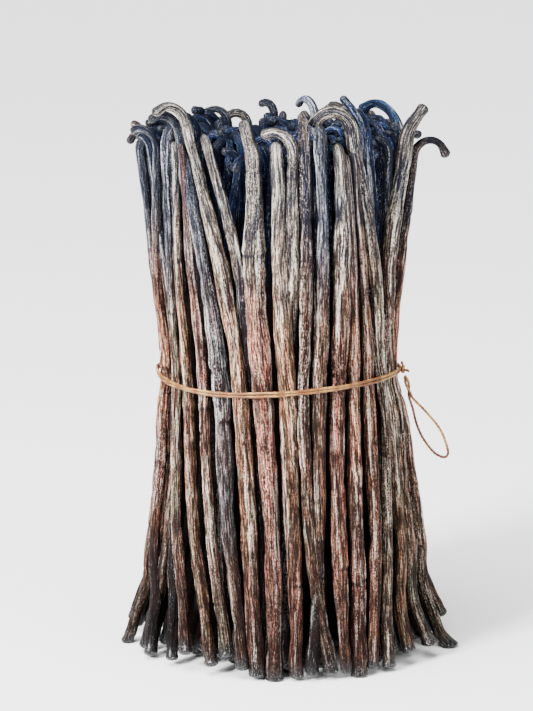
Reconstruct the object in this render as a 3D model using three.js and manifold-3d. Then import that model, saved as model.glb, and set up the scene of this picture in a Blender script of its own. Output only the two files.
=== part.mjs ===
// A bundle of vanilla pods, tied round its middle with a doubled twine and standing on its lower ends.
// Millimetres, +Z up, the near side faces -Y, origin under the middle of the bundle at floor level.
import * as THREE from 'three';
import { mergeVertices } from 'three/addons/utils/BufferGeometryUtils.js';
import Module from 'manifold-3d';

const wasm = await Module();
wasm.setup();

// Driving dimensions. The bundle is described at five heights: foot, knee, tie, shoulder and neck.
const stationHeight = [5, 45, 88, 125, 158];
const bundleHalfWidth = [52.6, 41.8, 36.7, 40.3, 43.2];
const bundleHalfDepth = [46.6, 41.8, 37.9, 40.3, 42.4];
const bundleCentreX = [3.1, 2.3, 0.4, -0.4, -1.2];
const widestAcross = 0.99; // a pod beyond the bundle's half-width stays this share of the way round
const frameShift = { x: -2.73, y: 0.14 }; // moves the middle of the whole box over the origin
const podDepthRatio = 0.86; // a pod is a little flatter than it is wide
const layerPitch = 4.6; // from one ring of pods to the next one inside it
const innerSpacing = 4.9; // along a ring, from pod to pod
const farPods = { count: 21, from: 98, to: 266, standing: 5 }; // angles round from the near side, degrees
const standingFoot = -0.6; // pods that carry the bundle reach just past the floor and are cut flat there
const innerLayers = 7;
const layoutSeed = 4021;

// Pods placed by rule: the spread of their feet, necks, hooks and widths.
const ruledFoot = [0.5, 5];
const ruledNeck = [155, 162];
const ruledTurn = [100, 225]; // most hooks lean to the left, and this share the other way
const ruledFlips = 0.08;
const ruledBend = [20, 155];
const ruledHookRadius = [2.6, 4.6];
const ruledWidth = [3.6, 4.8];
const ruledTaper = [0.9, 1, 1, 0.92, 0.74]; // width at the five heights as a share of the widest
const ruledWander = 3; // degrees, and two more for each ring inwards

const nearSides = 6; // a pod's sides, with fewer where less of it shows
const farSides = 5;
const innerSides = 4;
const hookStepBend = 60; // degrees that one step of a hook bends by at most
const secondShare = 3; // of the second ring, all but every third stand out of the core
const deepNeck = 158.8; // of the pods deeper than that, those whose necks stand higher than this

const coreInset = [7.5, 2.8, 2.4, 2.8, 5]; // how far it lies inside the outer surface at the five heights
const coreFloor = 7;
const coreTop = 147;
const coreSides = 14;
const coreCover = 3; // inner pods start this far below the core's top
const secondFoot = 30; // feet of the second ring reach up to here, where the core has taken them in

const strandRadius = 0.45;
const strandGap = 0.86; // between the centre lines of the two turns of twine
const tieHalfWidth = 38.15;
const tieHalfDepth = 39;
const tieCentreX = -0.1;
const tieWave = 1.2; // the tie dips to the left of the near side and climbs to its right
const tieSag = 4; // and hangs lower behind

// One pod of the near side. x is its centre and width its full width at each of the five heights, foot is
// the height of the lower end and neck is where the hook starts. The hook leans towards turn (degrees, 0
// is +X, 90 is the far side) and bends by bend degrees on the given radius, then runs on by tail. place
// may add a ring to lie in and a depth under the outer surface at the five heights.
function near(x, width, foot, neck, [turn, bend, radius, tail], place = {}) {
  const hook = { turn, bend, radius, tail };
  return { x, width, foot, neck, hook, layer: 0, under: [0, 0, 0, 0, 0], ...place };
}

// From left to right.
const nearPods = [
  near([-47.6, -38.5, -34.8, -38.8, -42.4], [3.9, 3.8, 4.0, 4.2, 3.6], standingFoot, 158, [0, 155, 2.0, 2]),
  near([-40.0, -38.3, -34.9, -37.3, -36.8], [4.6, 4.0, 4.2, 3.7, 2.8], 0.9, 160, [147, 145, 4.4, 1.2]),
  near([-28.6, -31.7, -31.4, -33.0, -33.3], [4.0, 3.7, 3.4, 3.3, 4.3], 5.0, 162, [60, 50, 4, 2]),
  near([-20.7, -26.1, -27.9, -30.3, -30.8], [4.3, 3.6, 3.9, 3.1, 2.5], 2.7, 159, [100, 30, 6, 1]),
  near([-16.1, -20.7, -23.2, -26.4, -29.0], [4.0, 3.6, 3.8, 2.8, 2.4], 6.4, 160, [150, 20, 6, 1]),
  near([-11.0, -15.4, -17.8, -22.4, -29.9], [4.0, 4.2, 6.0, 4.3, 3.0], 2.7, 165.8, [210, 123, 5.5, 1.1]),
  near([-6.5, -9.4, -11.7, -17.3, -27.6], [4.8, 5.0, 4.7, 5.2, 3.0], 0.6, 168.6, [212, 110, 6.0, 3]),
  near([-1.4, -2.1, -4.9, -7.2, -7.9], [4.7, 5.2, 6.1, 6.4, 5.2], standingFoot, 159, [165, 15, 14, 8.5]),
  near([5.4, 4.1, 2.3, 0.1, -0.8], [4.3, 4.6, 5.7, 5.5, 3.7], 0.6, 162, [190, 8, 12, 1]),
  near([15.9, 9.1, 7.5, 7.7, 7.1], [4.0, 3.7, 3.3, 4.0, 3.3], 1.5, 168.5, [175, 25, 8, 1]),
  near([10.0, 12.2, 11.8, 13.2, 12.0], [3.6, 3.2, 4.7, 4.3, 3.6], 1.3, 165.4, [165, 20, 8, 1]),
  near([20.5, 17.7, 17.6, 18.8, 17.6], [3.1, 5.1, 4.7, 5.4, 3.4], 1.5, 160, [170, 15, 8, 1.5]),
  near([24.6, 23.7, 22.8, 22.2, 20.1], [4.6, 4.6, 3.9, 3.0, 2.4], standingFoot, 156, [120, 25, 8, 1]),
  near([28.6, 29.2, 27.4, 24.9, 22.6], [3.8, 4.1, 4.0, 2.7, 2.4], 1.8, 155, [120, 30, 8, 2]),
  near([33.9, 33.4, 31.0, 28.6, 21.0], [4.1, 3.2, 3.2, 4.6, 4.2], 0.8, 167.5, [190, 148, 5.5, 1.8]),
  near([47.4, 39.6, 35.0, 33.4, 38.3], [4.4, 3.6, 3.5, 5.5, 5.4], 3.6, 161, [0, 28, 14, 6],
    { under: [0, 0, 0, -1, -2] }),
  near([52.4, 42.8, 35.4, 37.6, 41.3], [4.2, 4.0, 3.7, 3.4, 3.2], standingFoot, 155.5, [-5, 148, 4.7, 3.5]),
];
// Pods that show among the near ones for part of the way and pass behind them for the rest.
const crossingPods = [
  near([-5.2, -5.2, -8.8, -12.1, -21.1], [3.6, 3.6, 3.8, 3.5, 2.8], 2.2, 163, [200, 15, 10, 1],
    { under: [3.6, 4.6, 4.1, 1, -0.6] }),
  near([1.7, 2.0, 3.2, 4.0, 3.9], [3.4, 3.6, 3.6, 3.9, 3.4], 2.7, 160.7, [163, 126, 5.5, 1.7],
    { under: [3.6, 4.6, 4.1, 1, -0.6] }),
  near([40.6, 37.0, 33.3, 32.5, 32.6], [4.5, 4.4, 3.8, 3.4, 3.0], 3.8, 158, [180, 60, 4.4, 2],
    { under: [0.4, 0.6, 1, 1.8, 2.4] }),
  near([-33.1, -32.6, -31.9, -32.6, -32.8], [4.2, 3.6, 3.4, 3.2, 3.0], 1.6, 152, [150, 60, 4, 2],
    { under: [0.8, 2.4, 3.6, 3.6, 3.6] }),
];
// Pods of the second ring whose tops stand over the near ones.
const risingPods = [
  near([31.1, 30.6, 28.6, 28.2, 24.9], [3.6, 3.8, 3.6, 3.6, 2.8], 2.6, 162, [152, 41, 18, 3.2], { layer: 1 }),
  near([34.9, 35.3, 32.8, 33.6, 36.9], [3.8, 4.0, 4.0, 4.0, 3.6], 3.2, 156.5, [131, 127, 11.2, 2.9],
    { layer: 1 }),
  near([35.6, 33.9, 30.0, 29.4, 26.0], [3.6, 4.0, 4.0, 4.0, 3.4], 3.8, 164, [165, 25, 14, 3], { layer: 1 }),
  near([12.6, 12.2, 11.6, 11.2, 10.6], [3.6, 4.0, 4.0, 4.0, 2.8], 2.4, 170, [125, 142, 4.6, 1.5],
    { layer: 1, under: [0, 0, 0, 1, 3] }),
  near([-16.6, -17.5, -19.9, -21.5, -24.9], [3.6, 4.0, 4.0, 4.0, 3.8], 4, 166, [180, 50, 5, 2], { layer: 1 }),
];
// Pods in the gaps at the two sides, by their angle round from the near side.
const sidePods = { angles: [-94, -70, 66.5, 82], layer: 0.25, width: 4.2 };

const neckSample = 4; // the body's direction at the neck is read over this length
const hookTightening = 0.3; // the hook's radius starts this share larger and ends this share smaller

// A repeatable random draw between low and high.
let drawState = layoutSeed;
function draw(low, high) {
  drawState = (drawState * 1664525 + 1013904223) % 4294967296;
  return low + (high - low) * (drawState / 4294967296);
}

const radians = THREE.MathUtils.degToRad;

// A place in the bundle at station k: depth below the outer surface, angle round from the near side.
function ringPoint(k, angle, depth, height) {
  const across = bundleHalfWidth[k] - depth;
  const back = bundleHalfDepth[k] - depth;
  const x = bundleCentreX[k] + across * Math.sin(radians(angle));
  const y = -back * Math.cos(radians(angle));
  return new THREE.Vector3(x, y, height);
}

// Heights of a pod's five points: its own foot and neck, and the middle three stations.
function podHeights(foot, neck) {
  return [foot, stationHeight[1], stationHeight[2], stationHeight[3], neck];
}

// A near pod keeps its x at each height and lies at the outer surface there, or under it.
function nearPod(entry) {
  const heights = podHeights(entry.foot, entry.neck);
  const points = entry.x.map((x, k) => {
    const depth = entry.width[k] * podDepthRatio / 2 + entry.layer * layerPitch + entry.under[k];
    const across = (x - bundleCentreX[k]) / (bundleHalfWidth[k] - depth);
    const angle = Math.asin(THREE.MathUtils.clamp(across, -widestAcross, widestAcross));
    const point = ringPoint(k, THREE.MathUtils.radToDeg(angle), depth, heights[k]);
    point.x = x;
    return point;
  });
  return { ...entry, points, sides: nearSides, rising: entry.layer > 0 };
}

// A pod placed by rule, layer rings in: its angle wanders a little from station to station.
function ruledPod(angle, layer, width) {
  const foot = draw(...ruledFoot);
  const neck = draw(...ruledNeck) - layer * 0.4;
  const wander = ruledWander + layer * 2;
  const heights = podHeights(foot, neck);
  const points = heights.map((height, k) => {
    const depth = width * podDepthRatio / 2 + layer * layerPitch * bundleHalfDepth[k] / bundleHalfDepth[2];
    const loose = k === 2 ? 0 : draw(0, 0.8);
    return ringPoint(k, angle + draw(-wander, wander) * (k === 2 ? 0.2 : 1), depth + loose, height);
  });
  const turn = draw(...ruledTurn) + (draw(0, 1) < ruledFlips ? 180 : 0);
  const hook = { turn, bend: draw(...ruledBend), radius: draw(...ruledHookRadius), tail: draw(1, 3) };
  const widths = ruledTaper.map((share) => share * width);
  return { points, width: widths, hook, layer, sides: layer < 1 ? farSides : innerSides };
}

function layOutPods() {
  const pods = [...nearPods, ...crossingPods, ...risingPods].map(nearPod);
  for (let i = 0; i < farPods.count; i++) {
    const angle = farPods.from + (farPods.to - farPods.from) * i / (farPods.count - 1);
    const pod = ruledPod(angle, 0, draw(...ruledWidth));
    if (i % farPods.standing === 3) pod.points[0].z = standingFoot;
    pods.push(pod);
  }
  sidePods.angles.forEach((angle) => pods.push(ruledPod(angle, sidePods.layer, sidePods.width)));
  for (let layer = 1; layer <= innerLayers; layer++) {
    const radius = bundleHalfDepth[2] - podDepthRatio * ruledWidth[1] / 2 - layer * layerPitch;
    const count = Math.round(2 * Math.PI * radius / innerSpacing);
    for (let i = 0; i < count; i++) {
      pods.push(ruledPod(360 * (i + 0.5 * (layer % 2)) / count, layer, draw(...ruledWidth)));
    }
  }
  return pods;
}

// The body's centre line at a height, a cubic through the five points.
function bodyPoint(points, height) {
  let k = 0;
  while (k < points.length - 2 && height > points[k + 1].z) k++;
  const slope = (i) => {
    const before = points[Math.max(i - 1, 0)];
    const after = points[Math.min(i + 1, points.length - 1)];
    return after.clone().sub(before).divideScalar(after.z - before.z);
  };
  const span = points[k + 1].z - points[k].z;
  const t = (height - points[k].z) / span;
  const point = points[k].clone().multiplyScalar((1 + 2 * t) * (1 - t) ** 2);
  point.addScaledVector(slope(k), span * t * (1 - t) ** 2);
  point.addScaledVector(points[k + 1], t * t * (3 - 2 * t));
  point.addScaledVector(slope(k + 1), span * t * t * (t - 1));
  point.z = height;
  return point;
}

// Centre points of the hook, starting after the neck: an arc from the body's own direction that tightens
// towards its end, and a straight tail.
function hookPoints(pod) {
  const { turn, bend, radius, tail } = pod.hook;
  const steps = Math.ceil(bend / hookStepBend);
  const neck = pod.points[4];
  const upward = neck.clone().sub(bodyPoint(pod.points, neck.z - neckSample)).normalize();
  const towards = new THREE.Vector3(Math.cos(radians(turn)), Math.sin(radians(turn)), 0);
  towards.addScaledVector(upward, -towards.dot(upward)).normalize();
  const points = [];
  let last = neck;
  for (let i = 0; i < steps; i++) {
    const share = (i + 0.5) / steps;
    const angle = radians(bend) * share;
    const step = radius * (1 + hookTightening * (1 - 2 * share)) * radians(bend) / steps;
    last = last.clone().addScaledVector(upward, step * Math.cos(angle));
    last.addScaledVector(towards, step * Math.sin(angle));
    points.push(last);
  }
  const end = last.clone().addScaledVector(upward, tail * Math.cos(radians(bend)));
  points.push(end.addScaledVector(towards, tail * Math.sin(radians(bend))));
  return points;
}

// A closed tube with its own half-width and half-depth at every ring: a unit cylinder bent on the points.
function sweep(points, halfWidths, depthRatio, sides, firstSide) {
  const last = points.length - 1;
  const geometry = new THREE.CylinderGeometry(1, 1, 1, sides, last);
  const side = firstSide.clone();
  const frames = points.map((point, i) => {
    const along = points[Math.min(i + 1, last)].clone().sub(points[Math.max(i - 1, 0)]).normalize();
    side.addScaledVector(along, -side.dot(along)).normalize();
    return { side: side.clone(), out: side.clone().cross(along) };
  });
  const position = geometry.attributes.position;
  for (let v = 0; v < position.count; v++) {
    const row = Math.round((position.getY(v) + 0.5) * last);
    const placed = points[row].clone();
    placed.addScaledVector(frames[row].side, position.getX(v) * halfWidths[row]);
    placed.addScaledVector(frames[row].out, position.getZ(v) * halfWidths[row] * depthRatio);
    position.setXYZ(v, placed.x, placed.y, placed.z);
  }
  return geometry;
}

const footRound = 2.4; // length over which the lower end rounds off
const footTaper = 0.72; // half-widths there, along the hook and at its tip, as shares of the body's nearest
const hookTaper = 0.92;
const tipTaper = 0.78;
const straightTaper = 0.58; // at the tip of a top that bends less than straightBend
const straightBend = 30;

// The side direction that a pod's section starts from, square to the way out of the bundle.
function sideOf(pod) {
  const middle = pod.points[2];
  return new THREE.Vector3(-middle.y, middle.x, 0).normalize();
}

// A pod's half-width at a height, from its widths at the five points.
function halfWidthAt(pod, height) {
  const k = pod.points.findIndex((point, i) => i > 0 && (height <= point.z || i === pod.points.length - 1));
  const share = THREE.MathUtils.inverseLerp(pod.points[k - 1].z, pod.points[k].z, height);
  return THREE.MathUtils.lerp(pod.width[k - 1], pod.width[k], THREE.MathUtils.clamp(share, 0, 1)) / 2;
}

// Body rings at the given heights, as centre points with their half-widths.
function bodyRings(pod, heights) {
  return heights.map((height) => ({
    point: bodyPoint(pod.points, height),
    halfWidth: halfWidthAt(pod, height),
  }));
}

function hookRings(pod) {
  const points = hookPoints(pod);
  const lastTaper = pod.hook.bend < straightBend ? straightTaper : tipTaper;
  return points.map((point, i) => {
    const taper = i === points.length - 1 ? lastTaper : hookTaper;
    return { point, halfWidth: pod.width[4] / 2 * taper };
  });
}

function ringsToTube(pod, rings) {
  const points = rings.map((ring) => ring.point);
  const halfWidths = rings.map((ring) => ring.halfWidth);
  return sweep(points, halfWidths, podDepthRatio, pod.sides, sideOf(pod));
}

function wholePod(pod) {
  const foot = pod.points[0].z;
  const end = { point: bodyPoint(pod.points, foot), halfWidth: pod.width[0] / 2 * footTaper };
  const body = bodyRings(pod, podHeights(foot + footRound, pod.points[4].z));
  return ringsToTube(pod, [end, ...body, ...hookRings(pod)]);
}

function podTip(pod) {
  return ringsToTube(pod, [...bodyRings(pod, [coreTop - coreCover, pod.points[4].z]), ...hookRings(pod)]);
}

function podFoot(pod) {
  return ringsToTube(pod, bodyRings(pod, [pod.points[0].z, secondFoot]));
}

// The core: a lathe that follows the bundle's waist, set inside the outer ring and as oval as the bundle. It
// draws in at the foot and under the hooks, where the pods stand apart.
function coreGeometry() {
  const heights = podHeights(coreFloor, coreTop);
  const profile = heights.map((height, k) => new THREE.Vector2(bundleHalfDepth[k] - coreInset[k], height));
  const outline = [new THREE.Vector2(0, coreFloor), ...profile, new THREE.Vector2(0, coreTop)];
  const geometry = new THREE.LatheGeometry(outline, coreSides);
  geometry.rotateX(Math.PI / 2);
  const ovals = heights.map((height, k) => {
    const stretch = (bundleHalfWidth[k] - coreInset[k]) / (bundleHalfDepth[k] - coreInset[k]);
    return new THREE.Vector3(bundleCentreX[k], stretch, height);
  });
  const position = geometry.attributes.position;
  for (let v = 0; v < position.count; v++) {
    const oval = bodyPoint(ovals, position.getZ(v));
    position.setX(v, position.getX(v) * oval.y + oval.x);
  }
  return geometry;
}

// Solids go in and out of the boolean library as merged triangle meshes.
function toSolid(geometry) {
  const bare = geometry.clone();
  bare.deleteAttribute('normal');
  bare.deleteAttribute('uv');
  const merged = mergeVertices(bare, 1e-4);
  const mesh = { numProp: 3, vertProperties: merged.attributes.position.array, triVerts: merged.index.array };
  return new wasm.Manifold(new wasm.Mesh(mesh));
}

function toGeometry(solid) {
  const mesh = solid.getMesh();
  const geometry = new THREE.BufferGeometry();
  geometry.setAttribute('position', new THREE.BufferAttribute(new Float32Array(mesh.vertProperties), 3));
  geometry.setIndex(new THREE.BufferAttribute(new Uint32Array(mesh.triVerts), 1));
  geometry.computeVertexNormals();
  return geometry;
}

function fuse(geometries) {
  return geometries.map(toSolid).reduce((whole, piece) => whole.add(piece));
}

// The largest body on its own: loose scraps are dropped and sealed hollows are filled.
function largestBody(solid) {
  const bodies = solid.decompose();
  return bodies.reduce((best, body) => (body.volume() > best.volume() ? body : best));
}

function podsSolid() {
  const pods = layOutPods();
  const pieces = [coreGeometry()];
  pods.forEach((pod, i) => {
    const showsTip = pod.rising || (pod.layer === 1 ? i % secondShare > 0 : pod.points[4].z > deepNeck);
    if (pod.layer < 1) pieces.push(wholePod(pod));
    else if (showsTip) pieces.push(podTip(pod));
    if (pod.layer === 1 && i % secondShare === 0) pieces.push(podFoot(pod));
  });
  const underFloor = new THREE.BoxGeometry(200, 200, 20).translate(0, 0, -10);
  return largestBody(fuse(pieces).subtract(toSolid(underFloor)));
}

// One turn of twine round the bundle, its height waving with the angle on the near side and sagging behind.
function turnGeometry(height) {
  const geometry = new THREE.TorusGeometry(tieHalfDepth, strandRadius, 6, 44);
  const position = geometry.attributes.position;
  for (let v = 0; v < position.count; v++) {
    const angle = Math.atan2(position.getX(v), -position.getY(v));
    const behind = Math.max(0, -Math.cos(angle));
    const wave = behind > 0 ? -tieSag * behind : tieWave * Math.sin(2 * angle);
    position.setZ(v, position.getZ(v) + height + wave);
    position.setX(v, position.getX(v) + tieCentreX + (tieHalfWidth - tieHalfDepth) * Math.sin(angle));
  }
  return geometry;
}

// A round tube along a smooth curve through the points.
function twine(points, radius, sides, steps) {
  const section = new THREE.Shape();
  for (let i = 0; i < sides; i++) {
    const angle = 2 * Math.PI * i / sides;
    const corner = [radius * Math.cos(angle), radius * Math.sin(angle)];
    if (i === 0) section.moveTo(...corner);
    else section.lineTo(...corner);
  }
  const path = new THREE.CatmullRomCurve3(points.map((point) => new THREE.Vector3(...point)));
  return new THREE.ExtrudeGeometry(section, { steps, extrudePath: path, bevelEnabled: false });
}

const knotPlace = new THREE.Vector3(38.9, -4.2, 88.3);
const tailRoutes = [
  [[38.9, -4.2, 88.6], [38.8, -5.0, 89.8], [38.5, -5.3, 90.8]],
  [[38.9, -4.3, 88.3], [39.9, -4.6, 88.0], [40.8, -4.8, 87.8]],
];

function tieSolid() {
  const turns = [-strandGap / 2, strandGap / 2].map((offset) => turnGeometry(stationHeight[2] + offset));
  const knot = new THREE.SphereGeometry(1.25, 8, 6).scale(0.9, 1.1, 1).translate(...knotPlace);
  const tails = tailRoutes.map((route) => twine(route, strandRadius, 6, 4));
  return largestBody(fuse([...turns, knot, ...tails]));
}

// The free loop: two strands twist together below the knot, then open into the loop and come back.
const loopRadius = 0.4;
const loopSteps = 34;
const pairTop = [39.4, -4.4, 86.2];
const pairBottom = [41.2, -4.4, 79.2];
const pairSpread = 0.48;
const loopRoute = [
  [43.3, -4.5, 77.4], [45.7, -4.6, 75.0], [49.5, -4.8, 70.5], [51.6, -5.0, 66.8], [52.9, -5.1, 62.8],
  [53.0, -5.1, 61.2], [52.2, -5.0, 60.2], [50.6, -4.9, 60.4], [48.4, -4.8, 61.9], [45.9, -4.6, 65.0],
  [44.1, -4.5, 68.2], [42.8, -4.4, 71.8], [41.9, -4.3, 75.5],
];

function loopGeometry() {
  const strand = (start) => [0, 0.25, 0.5, 0.75, 1].map((t) => {
    const angle = radians(start + 270 * t);
    const spread = [pairSpread * Math.cos(angle), pairSpread * Math.sin(angle), 0];
    return pairTop.map((value, axis) => value + (pairBottom[axis] - value) * t + spread[axis]);
  });
  const down = strand(90);
  const up = strand(270).reverse();
  return twine([...down, ...loopRoute, ...up], loopRadius, 8, loopSteps);
}

function partMesh(name, geometry, color, roughness) {
  const mesh = new THREE.Mesh(geometry, new THREE.MeshStandardMaterial({ color, roughness, metalness: 0 }));
  mesh.name = name;
  return mesh;
}

const bundle = new THREE.Group();
bundle.position.set(frameShift.x, frameShift.y, 0);
bundle.add(partMesh('pods', toGeometry(podsSolid()), 0x4b3529, 0.55));
bundle.add(partMesh('string_tie', toGeometry(tieSolid()), 0xc08a4a, 0.7));
bundle.add(partMesh('string_loop', loopGeometry(), 0xc08a4a, 0.7));

export default bundle;
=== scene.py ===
# The looks of a standing bundle of vanilla pods, tied round its middle with doubled twine.
import math

import bmesh
import bpy
import numpy as np
from mathutils import Matrix, Vector


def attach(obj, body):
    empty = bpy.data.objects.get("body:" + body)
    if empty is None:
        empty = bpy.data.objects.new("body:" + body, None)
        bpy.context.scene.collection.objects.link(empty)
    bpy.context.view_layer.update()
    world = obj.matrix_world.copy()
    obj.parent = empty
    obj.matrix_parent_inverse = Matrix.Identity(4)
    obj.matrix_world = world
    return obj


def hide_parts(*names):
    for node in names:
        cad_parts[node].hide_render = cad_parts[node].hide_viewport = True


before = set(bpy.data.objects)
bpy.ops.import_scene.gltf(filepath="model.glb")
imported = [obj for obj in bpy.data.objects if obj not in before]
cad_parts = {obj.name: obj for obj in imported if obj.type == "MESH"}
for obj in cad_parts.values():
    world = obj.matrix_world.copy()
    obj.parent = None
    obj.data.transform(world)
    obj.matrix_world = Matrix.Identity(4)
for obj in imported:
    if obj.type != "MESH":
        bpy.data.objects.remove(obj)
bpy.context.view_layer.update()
scene = bpy.context.scene
mm = 0.001  # shapes are worked out in millimetres and placed in metres


# camera

cameraPlan = {
    "place": (-0.00661, -0.85, 0.274),
    "aim": (-0.00661, 0.0, 0.0917),
    "lens": 140.6,
    "sensor": 36,
}


def makeCamera(plan):
    camera = bpy.data.objects.new("camera", bpy.data.cameras.new("camera"))
    scene.collection.objects.link(camera)
    camera.data.lens = plan["lens"]
    camera.data.sensor_width = plan["sensor"]
    camera.location = plan["place"]
    look = Vector(plan["aim"]) - Vector(plan["place"])
    camera.rotation_euler = look.to_track_quat("-Z", "Y").to_euler()
    scene.camera = camera


makeCamera(cameraPlan)
print("camera placed")


# shader helpers

class Socket:  # a node's output that can be used in sums
    def __init__(self, finish, link):
        self.finish = finish
        self.link = link

    def sum(self, operation, first, second):
        return self.finish.node("ShaderNodeMath", {"operation": operation}, {0: first, 1: second})

    def __add__(self, other):
        return self.sum("ADD", self, other)

    def __radd__(self, other):
        return self.sum("ADD", other, self)

    def __sub__(self, other):
        return self.sum("SUBTRACT", self, other)

    def __rsub__(self, other):
        return self.sum("SUBTRACT", other, self)

    def __mul__(self, other):
        return self.sum("MULTIPLY", self, other)

    def __rmul__(self, other):
        return self.sum("MULTIPLY", other, self)


class Finish:  # one material and the nodes that are added to it
    def __init__(self, name):
        self.material = bpy.data.materials.new(name)
        self.material.use_nodes = True
        self.tree = self.material.node_tree
        self.shader = self.tree.nodes["Principled BSDF"]

    def node(self, kind, settings=None, inputs=None, output=0):
        made = self.tree.nodes.new(kind)
        for key, value in (settings or {}).items():
            setattr(made, key, value)
        for key, value in (inputs or {}).items():
            self.feed(made.inputs[key], value)
        return Socket(self, made.outputs[output])

    def feed(self, socket, value):
        if isinstance(value, Socket):
            self.tree.links.new(value.link, socket)
        else:
            socket.default_value = value

    def shade(self, **values):  # Principled inputs, with _ for a space in their names
        for key, value in values.items():
            self.feed(self.shader.inputs[key.replace("_", " ")], value)

    def attribute(self, name, output):
        return self.node("ShaderNodeAttribute", {"attribute_name": name}, output=output)

    def noise(self, vector, stretch, detail, roughness, warp=0):
        spread = self.node("ShaderNodeVectorMath", {"operation": "MULTIPLY"}, {0: vector, 1: stretch})
        inputs = {"Vector": spread, "Scale": 1, "Detail": detail, "Roughness": roughness, "Distortion": warp}
        return self.node("ShaderNodeTexNoise", {}, inputs)

    def step(self, value, low, high):  # 0 below low, 1 above high, smooth between
        inputs = {"Value": value, "From Min": low, "From Max": high}
        return self.node("ShaderNodeMapRange", {"interpolation_type": "SMOOTHSTEP"}, inputs)

    def split(self, vector):  # its three parts
        return [self.node("ShaderNodeSeparateXYZ", {}, {0: vector}, output=i) for i in range(3)]

    def blend(self, factor, first, second, how="MIX"):
        settings = {"data_type": "RGBA", "blend_type": how}
        return self.node("ShaderNodeMix", settings, {0: factor, 6: first, 7: second}, output=2)

    def bump(self, height, depth, strength):
        return self.node("ShaderNodeBump", {}, {"Height": height, "Distance": depth, "Strength": strength})


# tubes: every pod and strand is a straight closed tube that is bent onto its own line

def tubeBlank(sides, rings):
    bm = bmesh.new()
    bmesh.ops.create_cone(bm, cap_ends=True, cap_tris=True, segments=sides, radius1=1, radius2=1,
                          depth=rings - 1)
    bmesh.ops.translate(bm, verts=bm.verts, vec=(0, 0, (rings - 1) / 2))
    upright = [edge for edge in bm.edges if abs(edge.verts[0].co.z - edge.verts[1].co.z) > 0.5]
    bmesh.ops.subdivide_edges(bm, edges=upright, cuts=rings - 2)
    return bm


def tubeSet(name, sides, rings, count):  # count blanks one after another in one mesh
    bm = tubeBlank(sides, rings)
    one = bpy.data.meshes.new(name + "_blank")
    bm.to_mesh(one)
    for _ in range(count - 1):
        bm.from_mesh(one)
    mesh = bpy.data.meshes.new(name)
    bm.to_mesh(mesh)
    bm.free()
    corners = np.array([vertex.co for vertex in one.vertices])
    bpy.data.meshes.remove(one)
    blank = {"row": np.rint(corners[:, 2]).astype(int), "angle": np.arctan2(corners[:, 1], corners[:, 0]),
             "rim": np.hypot(corners[:, 0], corners[:, 1])}
    mesh.polygons.foreach_set("use_smooth", np.ones(len(mesh.polygons), bool))
    piece = bpy.data.objects.new(name, mesh)
    scene.collection.objects.link(piece)
    return piece, blank


def setPoints(piece, points, **attributes):  # vertices in millimetres, then what the material reads
    mesh = piece.data
    mesh.vertices.foreach_set("co", (points * mm).astype(np.float32).ravel())
    for name, values in attributes.items():
        kind = {3: ("FLOAT_VECTOR", "vector"), 4: ("FLOAT_COLOR", "color")}[values.shape[1]]
        layer = mesh.attributes.new(name, kind[0], "POINT")
        layer.data.foreach_set(kind[1], values.astype(np.float32).ravel())
    mesh.update()


def unit(vectors):
    return vectors / np.linalg.norm(vectors, axis=-1, keepdims=True)


def railsAlong(line, places, side):  # centre, side and out at each place along the line
    travelled = np.concatenate([[0], np.cumsum(np.linalg.norm(np.diff(line, axis=0), axis=1))])
    headings = np.gradient(line, axis=0)
    centre = np.stack([np.interp(places, travelled, line[:, axis]) for axis in range(3)], axis=1)
    along = unit(np.stack([np.interp(places, travelled, headings[:, axis]) for axis in range(3)], axis=1))
    sides = []
    for heading in along:
        side = unit(side - heading * np.dot(side, heading))
        sides.append(side)
    sides = np.array(sides)
    return centre, sides, np.cross(along, sides)


def lineLength(line):
    return np.linalg.norm(np.diff(line, axis=0), axis=1).sum()


def smoothLine(points, steps):  # a curve through all the points, steps to each span
    points = np.array(points, float)
    padded = np.vstack([2 * points[0] - points[1], points, 2 * points[-1] - points[-2]])
    t = np.linspace(0, 1, steps, endpoint=False)[:, None]
    spans = []
    for a, b, c, d in zip(padded, padded[1:], padded[2:], padded[3:]):
        spans.append(0.5 * (2 * b + (c - a) * t + (2 * a - 5 * b + 4 * c - d) * t ** 2
                            + (3 * b - a - 3 * c + d) * t ** 3))
    return np.vstack([*spans, points[-1:]])


# twine

twine = {
    "radius": 0.42,  # of one strand, mm
    "loopRadius": 0.4,
    "sides": 12,
    "ringSpacing": 0.16,
    "plies": 2,
    "plyDepth": 0.13,  # share of the radius
    "plyPitch": 2.6,  # mm for a whole turn of the plies
    "plain": ((0, (1, 1, 1)),),  # the tint of a strand that keeps its colour
    "shift": (-2.73, 0.14, 0),  # from the bundle's own axis to the middle of its box
}
tie = {
    "halfWidth": 37.95,
    "halfDepth": 38.8,
    "centreX": -0.1,
    "height": 88.0,
    "strandGap": 0.84,
    "wave": 1.2,
    "sag": 4.0,  # how much lower the tie hangs behind
    "rise": ((5, 1, 0.08), (13, 2, 0.05)),  # waves round a turn, multiple of its phase, mm up and down
    "swayWaves": 9,
    "sway": 0.1,  # mm in and out
    "steps": 720,
    "underShade": 0.4,  # painted shade: the underside of a turn is darker
    "phases": (0.0, 1.7),
}
knot = {
    "place": (38.7, -4.3, 88.3),
    "size": 0.34,
    "radius": 0.4,
    "opening": 0.35,  # radians of the curve left out where the tails leave it
    "points": 60,
    "every": 6,
    "firstTail": [(40.6, -5.0, 87.6), (40.0, -4.9, 88.0)],
    "lastTail": [(38.5, -4.6, 89.9), (38.2, -4.9, 90.7)],
}
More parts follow.
